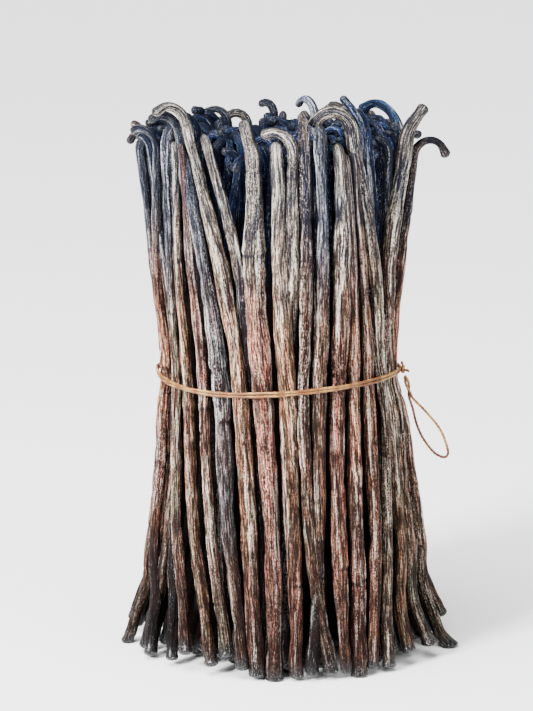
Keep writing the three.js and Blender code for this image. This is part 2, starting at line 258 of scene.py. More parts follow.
loopRoute = [
    (43.3, -4.5, 77.4), (45.7, -4.6, 75.0), (49.5, -4.8, 70.5), (51.6, -5.0, 66.8), (52.9, -5.1, 62.8),
    (53.0, -5.1, 61.2), (52.2, -5.0, 60.2), (50.6, -4.9, 60.4), (48.4, -4.8, 61.9), (45.9, -4.6, 65.0),
    (44.1, -4.5, 68.2), (42.8, -4.4, 71.8), (41.9, -4.3, 75.5),
]
# tints at distances along the loop: its golden outer strand turns dark red at the bottom
loopTints = (
    (0, (0.9, 0.8, 0.8)), (8, (1, 1, 1)), (25, (0.9, 0.8, 0.7)), (29, (0.35, 0.14, 0.16)),
    (34, (0.3, 0.14, 0.18)), (40, (0.5, 0.32, 0.32)), (50, (0.4, 0.22, 0.2)), (56, (0.7, 0.5, 0.4)),
)
pair = {"top": (39.4, -4.4, 86.2), "bottom": (41.2, -4.4, 79.2), "spread": 0.48, "turn": 270, "points": 5}


def plied(angle, travelled):  # how far out the plies stand, round a strand and along it
    turns = twine["plies"] * (angle - 2 * np.pi * travelled / twine["plyPitch"])
    return 1 + twine["plyDepth"] * np.cos(turns)


def strandTube(name, line, radius, tints):
    length = lineLength(line)
    rings = int(length / twine["ringSpacing"])
    piece, blank = tubeSet(name, twine["sides"], rings, 1)
    places = np.linspace(0, length, rings)
    centre, side, out = railsAlong(line, places, np.array([0.0, 1.0, 0.2]))
    row, angle = blank["row"], blank["angle"]
    reach = radius * blank["rim"] * plied(angle, places[row])
    points = (centre[row] + side[row] * (reach * np.cos(angle))[:, None]
              + out[row] * (reach * np.sin(angle))[:, None])
    grain = np.stack([radius * np.cos(angle), radius * np.sin(angle), places[row]], axis=1)
    stops = [at for at, colour in tints]
    channels = np.array([colour for at, colour in tints], float).T
    tint = np.stack([np.interp(places[row], stops, channel) for channel in channels], axis=1)
    setPoints(piece, points + twine["shift"], grain=grain, tint=tint)
    return piece


def strandPair(start):  # one of the two strands that twist together below the knot
    top, bottom = np.array(pair["top"]), np.array(pair["bottom"])
    points = []
    for t in np.linspace(0, 1, pair["points"]):
        angle = math.radians(start + pair["turn"] * t)
        spread = np.array([math.cos(angle), math.sin(angle), 0]) * pair["spread"]
        points.append(top + (bottom - top) * t + spread)
    return points


def makeLoop():
    line = smoothLine([*strandPair(90), *loopRoute, *strandPair(270)[::-1]], 12)
    piece = strandTube("twine_loop", line, twine["loopRadius"], loopTints)
    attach(piece, "root")
    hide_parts("string_loop")
    round(lineLength(line)) * mm
    return piece


def ringBlank(name, radius):  # a plain ring of round section, made a piece
    bm = bmesh.new()
    bmesh.ops.create_circle(bm, segments=twine["sides"], radius=twine["radius"])
    bmesh.ops.rotate(bm, verts=bm.verts, cent=(0, 0, 0), matrix=Matrix.Rotation(math.pi / 2, 3, "X"))
    bmesh.ops.translate(bm, verts=bm.verts, vec=(radius, 0, 0))
    bmesh.ops.spin(bm, geom=bm.verts[:] + bm.edges[:], cent=(0, 0, 0), axis=(0, 0, 1), dvec=(0, 0, 0),
                   angle=2 * math.pi, steps=tie["steps"], use_merge=True)
    bmesh.ops.recalc_face_normals(bm, faces=bm.faces)
    mesh = bpy.data.meshes.new(name)
    bm.to_mesh(mesh)
    bm.free()
    mesh.polygons.foreach_set("use_smooth", np.ones(len(mesh.polygons), bool))
    piece = bpy.data.objects.new(name, mesh)
    scene.collection.objects.link(piece)
    return piece


def tieTurn(name, height, phase):
    blankRadius = tie["halfDepth"]
    piece = ringBlank(name, blankRadius)
    points = np.array([vertex.co for vertex in piece.data.vertices])
    around = np.arctan2(points[:, 0], -points[:, 1])
    across = np.hypot(points[:, 0], points[:, 1]) - blankRadius
    angle = np.arctan2(points[:, 2], across)
    pliesAround = round(2 * math.pi * blankRadius / twine["plyPitch"])
    plies = 1 + twine["plyDepth"] * np.cos(twine["plies"] * angle - pliesAround * around)
    reach = twine["radius"] * plies
    rise = sum(depth * np.sin(waves * around + share * phase) for waves, share, depth in tie["rise"])
    radius = blankRadius + tie["sway"] * np.sin(tie["swayWaves"] * around + phase) + reach * np.cos(angle)
    acrossX = radius - blankRadius + tie["halfWidth"]
    behind = np.maximum(0, -np.cos(around))
    wave = np.where(behind > 0, -tie["sag"] * behind, tie["wave"] * np.sin(2 * around))
    x = tie["centreX"] + acrossX * np.sin(around)
    heights = height + rise + wave + reach * np.sin(angle)
    placed = np.stack([x, -radius * np.cos(around), heights], axis=1)
    grain = np.stack([reach * np.cos(angle), reach * np.sin(angle), blankRadius * around], axis=1)
    # painted shade: each turn is lit on top and darker below
    lit = np.clip(0.5 + np.sin(angle), 0, 1)
    tint = np.ones((len(placed), 3)) * (tie["underShade"] + (1 - tie["underShade"]) * lit)[:, None]
    setPoints(piece, placed + twine["shift"], grain=grain, tint=tint)
    return piece


def makeKnot():  # a trefoil with a tail at either end
    t = np.linspace(knot["opening"], 2 * math.pi - knot["opening"], knot["points"])[::knot["every"]]
    lump = np.stack([-np.sin(3 * t), np.sin(t) + 2 * np.sin(2 * t), np.cos(t) - 2 * np.cos(2 * t)], axis=1)
    lump = lump * knot["size"] + knot["place"]
    line = smoothLine([*knot["firstTail"], *lump, *knot["lastTail"]], 8)
    return strandTube("twine_knot", line, knot["radius"], twine["plain"])


def makeTie():
    gap = tie["strandGap"] / 2
    lowerPhase, upperPhase = tie["phases"]
    pieces = [tieTurn("twine_turn_lower", tie["height"] - gap, lowerPhase),
              tieTurn("twine_turn_upper", tie["height"] + gap, upperPhase), makeKnot()]
    for piece in pieces:
        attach(piece, "root")
        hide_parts("string_tie")
    return pieces


twineLook = {
    "fibres": ((9, 9, 1.6), 3, 0.6),  # across, round and along a strand, then detail and roughness
    "wear": ((0.6, 0.6, 0.22), 2, 0.5),
    "goldSteps": (0.42, 0.6),
    "betweenSteps": (0.52, 0.42),
    "shadedGold": (0.18, 0.058, 0.008, 1),
    "gold": (0.52, 0.29, 0.085, 1),
    "betweenFibres": (0.10, 0.025, 0.005, 1),
    "betweenShare": 0.85,
}


def twineFinish():
    finish = Finish("waxed_twine")
    grain = finish.attribute("grain", "Vector")
    fibres = finish.noise(grain, *twineLook["fibres"])
    wear = finish.noise(grain, *twineLook["wear"])
    worn = finish.step(wear, *twineLook["goldSteps"])
    gold = finish.blend(worn, twineLook["shadedGold"], twineLook["gold"])
    between = finish.step(fibres, *twineLook["betweenSteps"]) * twineLook["betweenShare"]
    colour = finish.blend(between, gold, twineLook["betweenFibres"])
    colour = finish.blend(1.0, colour, finish.attribute("tint", "Vector"), "MULTIPLY")
    finish.shade(Base_Color=colour, Roughness=0.38 + 0.25 * fibres, Specular_IOR_Level=0.4)
    finish.shade(Normal=finish.bump(fibres, 0.00006, 0.7))
    return finish.material


twinePieces = [makeLoop(), *makeTie()]
twineMaterial = twineFinish()
for piece in twinePieces:
    piece.data.materials.append(twineMaterial)
print("twine laid:", len(twinePieces), "pieces")


# layout of the bundle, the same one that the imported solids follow

bundle = {
    "heights": (5, 45, 88, 125, 158),  # foot, knee, tie, shoulder and neck
    "halfWidth": (52.6, 41.8, 36.7, 40.3, 43.2),
    "halfDepth": (46.6, 41.8, 37.9, 40.3, 42.4),
    "centreX": (3.1, 2.3, 0.4, -0.4, -1.2),
    "widestAcross": 0.99,
    "depthRatio": 0.86,
    "layerPitch": 4.6,
    "innerSpacing": 4.9,
    "innerLayers": 7,
    "neckSample": 4,
    "hookTightening": 0.3,
    "seed": 4021,
}
ruled = {  # pods placed by rule: the spread of their feet, necks, hooks and widths
    "foot": (0.5, 5),
    "neck": (155, 162),
    "turn": (100, 225),  # most hooks lean to the left, and the share flips the other way
    "flips": 0.08,
    "bend": (20, 155),
    "hookRadius": (2.6, 4.6),
    "width": (3.6, 4.8),
    "taper": (0.9, 1, 1, 0.92, 0.74),
    "tail": (1, 3),
    "loose": (0, 0.8),  # gap under a pod, but not at the tie
    "wander": 3,
    "wanderAtTie": 0.2,
}
standing = -0.6  # the foot height of a pod that stands on the floor
farPlan = {"count": 21, "from": 98, "to": 266, "standingEvery": 5, "standingFirst": 3}
sidePlan = {"angles": (-94, -70, 66.5, 82), "layer": 0.25, "width": 4.2}

tones = {  # colour of the skin, then how many pale fibres it shows
    "slate": (0.095, 0.098, 0.110, 0.5),
    "ash": (0.205, 0.168, 0.125, 0.8),
    "rose": (0.215, 0.110, 0.085, 0.6),
    "clay": (0.190, 0.098, 0.064, 0.5),
    "rust": (0.175, 0.082, 0.060, 0.45),
    "tan": (0.228, 0.140, 0.088, 0.6),
    "umber": (0.090, 0.058, 0.042, 0.4),
    "teal": (0.030, 0.042, 0.055, 0.8),
    # painted shade: soot, navy and night are near-black tones for pods and parts that stand behind others,
    # and night also for the core
    "soot": (0.012, 0.015, 0.022, 0.4),
    "navy": (0.010, 0.016, 0.032, 0.4),
    "night": (0.0020, 0.0020, 0.0026, 0.0),
}
# x and width at the five heights, foot, neck, hook (turn, bend, radius, tail), tones from the top down
nearPods = [
    ((-47.6, -38.5, -34.8, -38.8, -42.4), (3.9, 3.8, 4.0, 4.2, 3.6), standing, 158,
     (0, 155, 2.0, 2), "slate rose ash"),
    ((-40.0, -38.3, -34.9, -37.3, -36.8), (4.6, 4.0, 4.2, 3.7, 2.8), 0.9, 160,
     (147, 145, 4.4, 1.2), "slate clay soot"),
    ((-28.6, -31.7, -31.4, -33.0, -33.3), (4.0, 3.7, 3.4, 3.3, 4.3), 5.0, 162,
     (60, 50, 4, 2), "slate ash rose"),
    ((-20.7, -26.1, -27.9, -30.3, -30.8), (4.3, 3.6, 3.9, 3.1, 2.5), 2.7, 159,
     (100, 30, 6, 1), "ash tan tan"),
    ((-16.1, -20.7, -23.2, -26.4, -29.0), (4.0, 3.6, 3.8, 2.8, 2.4), 6.4, 160,
     (150, 20, 6, 1), "rose rose ash"),
    ((-11.0, -15.4, -17.8, -22.4, -29.9), (4.0, 4.2, 6.0, 4.3, 3.0), 2.7, 165.8,
     (210, 123, 5.5, 1.1), "slate slate umber"),
    ((-6.5, -9.4, -11.7, -17.3, -27.6), (4.8, 5.0, 4.7, 5.2, 3.0), 0.6, 168.6,
     (212, 110, 6.0, 3), "ash tan rose"),
    ((-1.4, -2.1, -4.9, -7.2, -7.9), (4.7, 5.2, 6.1, 6.4, 5.2), standing, 159,
     (165, 15, 14, 8.5), "ash rose rust"),
    ((5.4, 4.1, 2.3, 0.1, -0.8), (4.3, 4.6, 5.7, 5.5, 3.7), 0.6, 162,
     (190, 8, 12, 1), "ash tan rust"),
    ((15.9, 9.1, 7.5, 7.7, 7.1), (4.0, 3.7, 3.3, 4.0, 3.3), 1.5, 168.5,
     (175, 25, 8, 1), "umber umber umber"),
    ((10.0, 12.2, 11.8, 13.2, 12.0), (3.6, 3.2, 4.7, 4.3, 3.6), 1.3, 165.4,
     (165, 20, 8, 1), "slate umber soot"),
    ((20.5, 17.7, 17.6, 18.8, 17.6), (3.1, 5.1, 4.7, 5.4, 3.4), 1.5, 160,
     (170, 15, 8, 1.5), "ash rust clay"),
    ((24.6, 23.7, 22.8, 22.2, 20.1), (4.6, 4.6, 3.9, 3.0, 2.4), standing, 156,
     (120, 25, 8, 1), "umber clay rust"),
    ((28.6, 29.2, 27.4, 24.9, 22.6), (3.8, 4.1, 4.0, 2.7, 2.4), 1.8, 155,
     (120, 30, 8, 2), "umber clay clay"),
    ((33.9, 33.4, 31.0, 28.6, 21.0), (4.1, 3.2, 3.2, 4.6, 4.2), 0.8, 167.5,
     (190, 148, 5.5, 1.8), "ash ash ash"),
    ((47.4, 39.6, 35.0, 33.4, 38.3), (4.4, 3.6, 3.5, 5.5, 5.4), 3.6, 161,
     (0, 28, 14, 6), "ash umber ash", (0, 0, 0, -1, -2)),
    ((52.4, 42.8, 35.4, 37.6, 41.3), (4.2, 4.0, 3.7, 3.4, 3.2), standing, 155.5,
     (-5, 148, 4.7, 3.5), "umber rust ash"),
]
# pods that pass behind their neighbours, with their depth under the outer surface at the five heights
crossingPods = [
    ((-5.2, -5.2, -8.8, -12.1, -21.1), (3.6, 3.6, 3.8, 3.5, 2.8), 2.2, 163,
     (200, 15, 10, 1), "ash soot soot", (3.6, 4.6, 4.1, 1, -0.6)),
    ((1.7, 2.0, 3.2, 4.0, 3.9), (3.4, 3.6, 3.6, 3.9, 3.4), 2.7, 160.7,
     (163, 126, 5.5, 1.7), "ash soot soot", (3.6, 4.6, 4.1, 1, -0.6)),
    ((40.6, 37.0, 33.3, 32.5, 32.6), (4.5, 4.4, 3.8, 3.4, 3.0), 3.8, 158,
     (180, 60, 4.4, 2), "soot ash tan", (0.4, 0.6, 1, 1.8, 2.4)),
    ((-33.1, -32.6, -31.9, -32.6, -32.8), (4.2, 3.6, 3.4, 3.2, 3.0), 1.6, 152,
     (150, 60, 4, 2), "soot soot soot", (0.8, 2.4, 3.6, 3.6, 3.6)),
]
# pods of the second ring whose tops stand over the near ones
risingPods = [
    ((31.1, 30.6, 28.6, 28.2, 24.9), (3.6, 3.8, 3.6, 3.6, 2.8), 2.6, 162,
     (152, 41, 18, 3.2), "teal soot soot"),
    ((34.9, 35.3, 32.8, 33.6, 36.9), (3.8, 4.0, 4.0, 4.0, 3.6), 3.2, 156.5,
     (131, 127, 11.2, 2.9), "teal soot soot"),
    ((35.6, 33.9, 30.0, 29.4, 26.0), (3.6, 4.0, 4.0, 4.0, 3.4), 3.8, 164,
     (165, 25, 14, 3), "soot soot soot"),
    ((12.6, 12.2, 11.6, 11.2, 10.6), (3.6, 4.0, 4.0, 4.0, 2.8), 2.4, 170,
     (125, 142, 4.6, 1.5), "ash soot soot", (0, 0, 0, 1, 3)),
    ((-16.6, -17.5, -19.9, -21.5, -24.9), (3.6, 4.0, 4.0, 4.0, 3.8), 4, 166,
     (180, 50, 5, 2), "soot soot soot"),
]

drawState = bundle["seed"]


def draw(low, high):  # a repeatable random number
    global drawState
    drawState = (drawState * 1664525 + 1013904223) % 4294967296
    return low + (high - low) * (drawState / 4294967296)


def ringPoint(k, angle, depth, height):
    turn = math.radians(angle)
    x = bundle["centreX"][k] + (bundle["halfWidth"][k] - depth) * math.sin(turn)
    return [x, -(bundle["halfDepth"][k] - depth) * math.cos(turn), height]


def podHeights(foot, neck):
    return (foot, *bundle["heights"][1:4], neck)


def nearPod(entry, layer=0):
    x, width, foot, neck, hook, tone = entry[:6]
    under = entry[6] if len(entry) > 6 else (0,) * 5
    widest = bundle["widestAcross"]
    points = []
    for k, height in enumerate(podHeights(foot, neck)):
        depth = width[k] * bundle["depthRatio"] / 2 + layer * bundle["layerPitch"] + under[k]
        across = (x[k] - bundle["centreX"][k]) / (bundle["halfWidth"][k] - depth)
        angle = math.degrees(math.asin(max(-widest, min(widest, across))))
        points.append([x[k], *ringPoint(k, angle, depth, height)[1:]])
    return {"points": np.array(points), "width": width, "hook": hook, "layer": layer, "tone": tone.split()}


def ruledPod(angle, layer, width):
    foot = draw(*ruled["foot"])
    neck = draw(*ruled["neck"]) - layer * 0.4
    wander = ruled["wander"] + layer * 2
    points = []
    for k, height in enumerate(podHeights(foot, neck)):
        depth = width * bundle["depthRatio"] / 2
        depth += layer * bundle["layerPitch"] * bundle["halfDepth"][k] / bundle["halfDepth"][2]
        loose = 0 if k == 2 else draw(*ruled["loose"])
        turned = angle + draw(-wander, wander) * (ruled["wanderAtTie"] if k == 2 else 1)
        points.append(ringPoint(k, turned, depth + loose, height))
    turn = draw(*ruled["turn"]) + (180 if draw(0, 1) < ruled["flips"] else 0)
    hook = (turn, draw(*ruled["bend"]), draw(*ruled["hookRadius"]), draw(*ruled["tail"]))
    widths = [share * width for share in ruled["taper"]]
    return {"points": np.array(points), "width": widths, "hook": hook, "layer": layer, "tone": None}


def layOutPods():
    pods = [nearPod(entry) for entry in nearPods + crossingPods]
    pods += [nearPod(entry, 1) for entry in risingPods]
    for i in range(farPlan["count"]):
        width = draw(*ruled["width"])
        angle = farPlan["from"] + (farPlan["to"] - farPlan["from"]) * i / (farPlan["count"] - 1)
        pod = ruledPod(angle, 0, width)
        if i % farPlan["standingEvery"] == farPlan["standingFirst"]:
            pod["points"][0][2] = standing
        pods.append(pod)
    pods += [ruledPod(angle, sidePlan["layer"], sidePlan["width"]) for angle in sidePlan["angles"]]
    widestDepth = bundle["depthRatio"] * ruled["width"][1]
    for layer in range(1, bundle["innerLayers"] + 1):
        radius = bundle["halfDepth"][2] - widestDepth / 2 - layer * bundle["layerPitch"]
        count = round(2 * math.pi * radius / bundle["innerSpacing"])
        for i in range(count):
            width = draw(*ruled["width"])
            pods.append(ruledPod(360 * (i + 0.5 * (layer % 2)) / count, layer, width))
    return pods


def bodyPoints(points, heights):  # the body's centre line, a cubic through the five points
    z = points[:, 2]
    before = points[[0, 0, 1, 2, 3]]
    after = points[[1, 2, 3, 4, 4]]
    slopes = (after - before) / (after[:, 2] - before[:, 2])[:, None]
    k = np.searchsorted(z[1:4], heights)
    span = (z[k + 1] - z[k])[:, None]
    t = (heights[:, None] - z[k][:, None]) / span
    placed = points[k] * (1 + 2 * t) * (1 - t) ** 2 + slopes[k] * span * t * (1 - t) ** 2
    placed += points[k + 1] * t * t * (3 - 2 * t) + slopes[k + 1] * span * t * t * (t - 1)
    placed[:, 2] = heights
    return placed


def hookLine(pod):  # an arc from the body's own direction that tightens to its end, then a straight tail
    turn, bend, radius, tail = pod["hook"]
    neck = pod["points"][4]
    below = bodyPoints(pod["points"], np.array([neck[2] - bundle["neckSample"]]))[0]
    upward = unit(neck - below)
    towards = np.array([math.cos(math.radians(turn)), math.sin(math.radians(turn)), 0])
    towards = unit(towards - upward * np.dot(towards, upward))
    bend = math.radians(bend)
    steps = max(6, int(radius * bend / 0.4))
    share = (np.arange(steps)[:, None] + 0.5) / steps
    reach = radius * (1 + bundle["hookTightening"] * (1 - 2 * share)) * bend / steps
    arc = neck + np.cumsum(reach * (np.cos(bend * share) * upward + np.sin(bend * share) * towards), axis=0)
    straight = np.linspace(0, tail, 5)[1:, None] * (upward * math.cos(bend) + towards * math.sin(bend))
    return np.vstack([arc, arc[-1] + straight])


# pod shapes

podShape = {
    "footRound": 1.5,  # length over which the lower end rounds off, mm
    "tipRound": 1.2,
    "roundRows": 6,
    "tipTaper": 0.16,  # share of the width that a hook loses to its tip
    "straightTaper": 0.42,  # the same for a top that bends less than straightBend
    "straightBend": 30,
    "plump": 0.14,  # mm that the furrows take off again
    "swells": ((0.10, 15), (0.06, 3.5)),  # changes of the width: share and length in mm
    "seed": 9000,
    "wobble": 0.35,  # how far the centre line strays, mm
    "wobblePitches": (21, 17),  # sideways, then outwards
    "twist": (0.9, 60),  # how far the furrows wind round a pod, and over what length
    "furrow": (0.40, 7, 26),  # depth, how many round a pod and their length, mm
    "wrinkle": (0.22, 13, 9),
    "lump": (0.20, 5, 7),
    "ridge": 0.14,
    "litRidges": 3,
    "joints": (1, 3),  # cross creases on a pod, after the first
    "jointWidth": 0.42,
    "jointDepth": 0.3,
    "jointSwell": 0.16,
}
# sideways bows of the outer pods: height, length and shift, and the x from which they take all of it
bows = ((73, 13, 2.0, 40), (19, 11, -2.7, 46), (74, 10, -1.1, -40), (20, 8, 1.7, -46))
bowLimits = {"innermost": 28, "top": 86, "fade": 8}
# feet that widen by a share and flick outwards by some mm
feet = {16: (0.6, 2.2), 15: (0.4, 0.4), 0: (0.2, -0.8)}
footLength = 7
core = {"floor": 8.0, "top": 142.0, "inset": 15.5, "sides": 64, "rows": 20, "ripples": 16, "ripple": 0.03}
overlap = 4  # how far the tips and feet of the inner pods run into the core


def smooth(t):
    t = np.clip(t, 0, 1)
    return t * t * (3 - 2 * t)


def grow(value, start, length):  # 0 up to start, then 1 after a length that may be negative
    return smooth((value - start) / length)


def hill(value, place, spread):  # 1 at its place, falling off on both sides
    return np.exp(-((value - place) / spread) ** 2)


def waver(rng, along, pitch):  # a smooth random value between -1 and 1 along a pod
    values = rng.uniform(-1, 1, int(along.max() / pitch) + 3)
    place = along / pitch
    k = place.astype(int)
    return values[k] + (values[k + 1] - values[k]) * smooth(place - k)


def varied(rng, along, sizeAndPitch):
    size, pitch = sizeAndPitch
    return size * waver(rng, along, pitch)


def creases(rng, angle, along, around, pitch):  # the same round a pod and along it
    table = rng.uniform(-1, 1, (int(along.max() / pitch) + 3, around))
    a = angle % (2 * np.pi) / (2 * np.pi) * around
    b = along / pitch
    i, j = a.astype(int), b.astype(int)
    fa, fb = smooth(a - i), smooth(b - j)
    i, following = i % around, (i + 1) % around
    low = table[j, i] * (1 - fa) + table[j, following] * fa
    high = table[j + 1, i] * (1 - fa) + table[j + 1, following] * fa
    return low * (1 - fb) + high * fb


def bodyWidth(pod, heights):  # smooth through the widths at the five heights
    stations = np.array(podHeights(pod["points"][0][2], pod["points"][4][2]))
    k = np.clip(np.searchsorted(stations, heights) - 1, 0, 3)
    t = smooth((heights - stations[k]) / (stations[k + 1] - stations[k]))
    width = np.array(pod["width"])
    return width[k] + (width[k + 1] - width[k]) * t


def ringPlaces(length, rings, shape):  # closer together where the two ends round off
    quarter = np.linspace(0.3, math.pi / 2, shape["roundRows"] + 1)[:-1]
    foot = shape["footRound"] * (1 - np.cos(quarter))
    tip = length - shape["tipRound"] * (1 - np.cos(quarter))[::-1]
    middle = np.linspace(shape["footRound"], length - shape["tipRound"], rings - 2 * shape["roundRows"])
    return np.concatenate([foot, middle, tip])


def litRidgeLines(rng, angle, along, count):  # thin raised lines along a pod, the first one at its left; their pale colour is a painted highlight
    total = np.zeros(len(angle))
    for k in range(count):
        place = rng.uniform(3.45, 3.85) if k == 0 else rng.uniform(3.9, 6.1)
        off = 1 - np.cos(angle - place - 0.35 * waver(rng, along, 35))
        total += np.exp(-off / 0.018) * smooth(0.6 + 1.4 * waver(rng, along, 14))
    return np.clip(total, 0, 1)


def endScale(places, length, shape):
    foot = np.clip(1 - places / shape["footRound"], 0, 1)
    tip = np.clip(1 - (length - places) / shape["tipRound"], 0, 1)
    return (1 - foot ** 2.4) ** 0.42 * (1 - tip ** 2.2) ** 0.46


def podLine(pod, span):
    foot, neck = pod["points"][0][2], pod["points"][4][2]
    start = core["top"] - overlap if span == "tip" else foot
    end = core["floor"] + overlap if span == "foot" else neck
    body = bodyPoints(pod["points"], np.linspace(start, end, max(8, int((end - start) / 1.5))))
    if span == "foot":
        return body, lineLength(body)
    return np.vstack([body, hookLine(pod)]), lineLength(body)


def strayLine(rng, pod, line, places, fine):  # the centre line, now less even, and its two directions
    middle = pod["points"][2]
    centre, side, out = railsAlong(line, places, np.array([-middle[1], middle[0], 0.0]))
    stray = podShape["wobble"] * fine * smooth(places / 8)
    sidePitch, outPitch = podShape["wobblePitches"]
    centre = centre + side * (stray * waver(rng, places, sidePitch))[:, None]
    centre += out * (stray * 0.5 * waver(rng, places, outPitch))[:, None]
    for height, spread, shift, edge in bows:
        inside = bowLimits["innermost"]
        outer = smooth((centre[:, 0] * np.sign(edge) - inside) / (abs(edge) - inside))
        outer *= grow(centre[:, 2], bowLimits["top"], -bowLimits["fade"])
        centre[:, 0] += shift * outer * hill(centre[:, 2], height, spread)
    flick = feet.get(pod["index"], (0, 0))[1]
    centre[:, 0] += flick * smooth(1 - places / footLength) ** 2
    return centre, side, out


def halfWidths(rng, pod, centre, places, length, beyond, span, fine):
    foot, neck = pod["points"][0][2], pod["points"][4][2]
    width = bodyWidth(pod, np.clip(centre[:, 2], foot, neck)) / 2
    taper = podShape["straightTaper" if pod["hook"][1] < podShape["straightBend"] else "tipTaper"]
    width = np.where(beyond > 0, pod["width"][4] / 2 * (1 - taper * beyond), width)
    width = width + podShape["plump"] * fine
    width *= 1 + sum(varied(rng, places, swell) for swell in podShape["swells"])
    flare = feet.get(pod["index"], (0, 0))[0]
    width *= 1 + flare * smooth(1 - places / footLength)
    if span != "foot":  # a small knob at the tip
        width *= 1 + rng.uniform(0.05, 0.3) * hill(length - places, 1.5, 0.9)
    if span != "tip":  # a cap with a groove over it at the foot
        capLength = rng.uniform(1.4, 2.6)
        width *= 1 + rng.uniform(0, 0.1) * hill(places, capLength * 0.6, 0.8)
        width *= 1 - rng.uniform(0.04, 0.16) * hill(places, capLength + 0.4, 0.45)
    return width * endScale(places, length, podShape)


def podRelief(rng, pod, angle, turned, along, length, fine):  # how far the skin stands out, and its marks
    furrowDepth, *furrows = podShape["furrow"]
    wrinkleDepth, *wrinkles = podShape["wrinkle"]
    lumpHeight, *lumps = podShape["lump"]
    furrow = (1 - np.abs(creases(rng, turned, along, *furrows))) ** 5
    wrinkle = (1 - np.abs(creases(rng, turned, along, *wrinkles))) ** 4
    lump = creases(rng, turned, along, *lumps)
    relief = lumpHeight * lump - furrowDepth * furrow - wrinkleDepth * wrinkle
    # groove is painted shade: the colour darkens in the furrows, wrinkles and cross creases
    groove = 0.75 * furrow + 0.45 * wrinkle
    shows = pod["layer"] < 1 or pod["tone"]
    # raised ridges that the shader also paints pale as a highlight
    litRidges = litRidgeLines(rng, angle, along, podShape["litRidges"]) if shows else np.zeros(len(along))
    relief += podShape["ridge"] * litRidges
    joints = 1 + rng.randint(*podShape["joints"]) if fine > 0.5 else 0
    for _ in range(joints):
        at = rng.uniform(12, max(length - 20, 14))
        lean = rng.uniform(-1.0, 1.0) * np.cos(angle - rng.uniform(0, 6.3))
        lean += 0.4 * creases(rng, angle, along, 9, 4)
        reach = 0.35 + 0.65 * smooth(0.5 + 0.8 * np.cos(angle - rng.uniform(0, 6.3)))
        slit = hill(along - lean, at, podShape["jointWidth"]) * reach
        relief += podShape["jointSwell"] * hill(along, at + 1.3, 1.6) - podShape["jointDepth"] * slit
        groove = groove + 0.9 * slit
    return relief, groove, litRidges


# pod colours

podTones = {  # a From or To holds where a change starts and the length over which it grows
    "blendWaver": (0.12, 23),  # wavers hold a share and its length, mm
    "toneWaver": (0.25, 12),
    "paleWaver": (0.5, 18),
    "upperFrom": (0.6, 0.3),  # shares of the height
    "lowerFrom": (0.42, -0.34),
    "cool": (0.92, 1.0, 1.12),  # tint of the skin up at the hooks, and of the pods further in
    "coolDeep": (0.7, 0.95, 1.5),
    "coolFrom": (115, 45),  # heights, mm
    "navy": (0.0025, 0.013, 0.046),
    "navyFrom": (105, 40),
    "litFrom": (154, 10),
    "belowTops": 0.2,  # how much light the inner pods get lower down
    "paleFrom": (15, 60),
    "warmTo": (105, 45),
    "warmLoss": 0.8,
    "endLengths": (3.2, 1.5),  # of the black ends at foot and tip
    "tipShare": 0.5,
}
# painted shade: these shares darken or lighten the skin colour by height, between neighbouring pods, on
# their right sides and at the left feet
podShade = {
    "heights": (0, 12, 40, 80, 100, 130, 165),
    "shades": (0.15, 0.29, 0.74, 1.15, 1.25, 1.0, 0.94),
    "sides": 0.42,  # painted shade: what is left of the colour between two pods
    "facing": (-0.2, 0.75),
    "right": 0.33,
    "exposedX": (22, 12),  # the outer pods are open to the light at their sides; start and length
    "exposedHeight": (112, -24),
    "leftFeet": 0.55,
    "leftX": (-24, -10),
    "leftHeight": (44, -24),
}


def podTone(rng, pod, share, along, height):  # the skin's colour, with its share of pale fibres last
    top, mid, low = [np.array(tones[name]) for name in pickTones(pod, rng)]
    blendAt = (share + varied(rng, along, podTones["blendWaver"]))[:, None]
    tone = mid + (top - mid) * grow(blendAt, *podTones["upperFrom"])
    tone += (low - mid) * grow(blendAt, *podTones["lowerFrom"])
    tone[:, :3] *= 1 + varied(rng, along, podTones["toneWaver"])[:, None]
    inside = pod["layer"] >= 1
    cool = np.array(podTones["coolDeep" if inside else "cool"])
    tone[:, :3] *= 1 + grow(height, *podTones["coolFrom"])[:, None] * (cool - 1)
    # painted shade: the inner pods get darker below their tops, and a navy tint is added higher up, the
    # colour of the shade between pods
    if inside:
        lit = grow(height, *podTones["litFrom"])[:, None]
        tone[:, :3] *= podTones["belowTops"] + (1 - podTones["belowTops"]) * lit
        tone[:, :3] += grow(height, *podTones["navyFrom"])[:, None] * np.array(podTones["navy"])
    return tone


def shadeOf(pod, angle, height):  # painted shade: darker towards the floor, where pods stand close, on the right sides and at the left feet
    shade = np.interp(height, podShade["heights"], podShade["shades"])
    x = pod["points"][2][0]
    facing, rightward = -np.sin(angle), np.cos(angle)
    exposed = grow(abs(x), *podShade["exposedX"]) * grow(height, *podShade["exposedHeight"])
    shade *= podShade["sides"] + (1 - podShade["sides"]) * grow(facing + exposed, *podShade["facing"])
    shade *= 1 - podShade["right"] * smooth(rightward / 0.9) * (1 - exposed)
    shade *= 1 - podShade["leftFeet"] * grow(x, *podShade["leftX"]) * grow(height, *podShade["leftHeight"])
    return shade


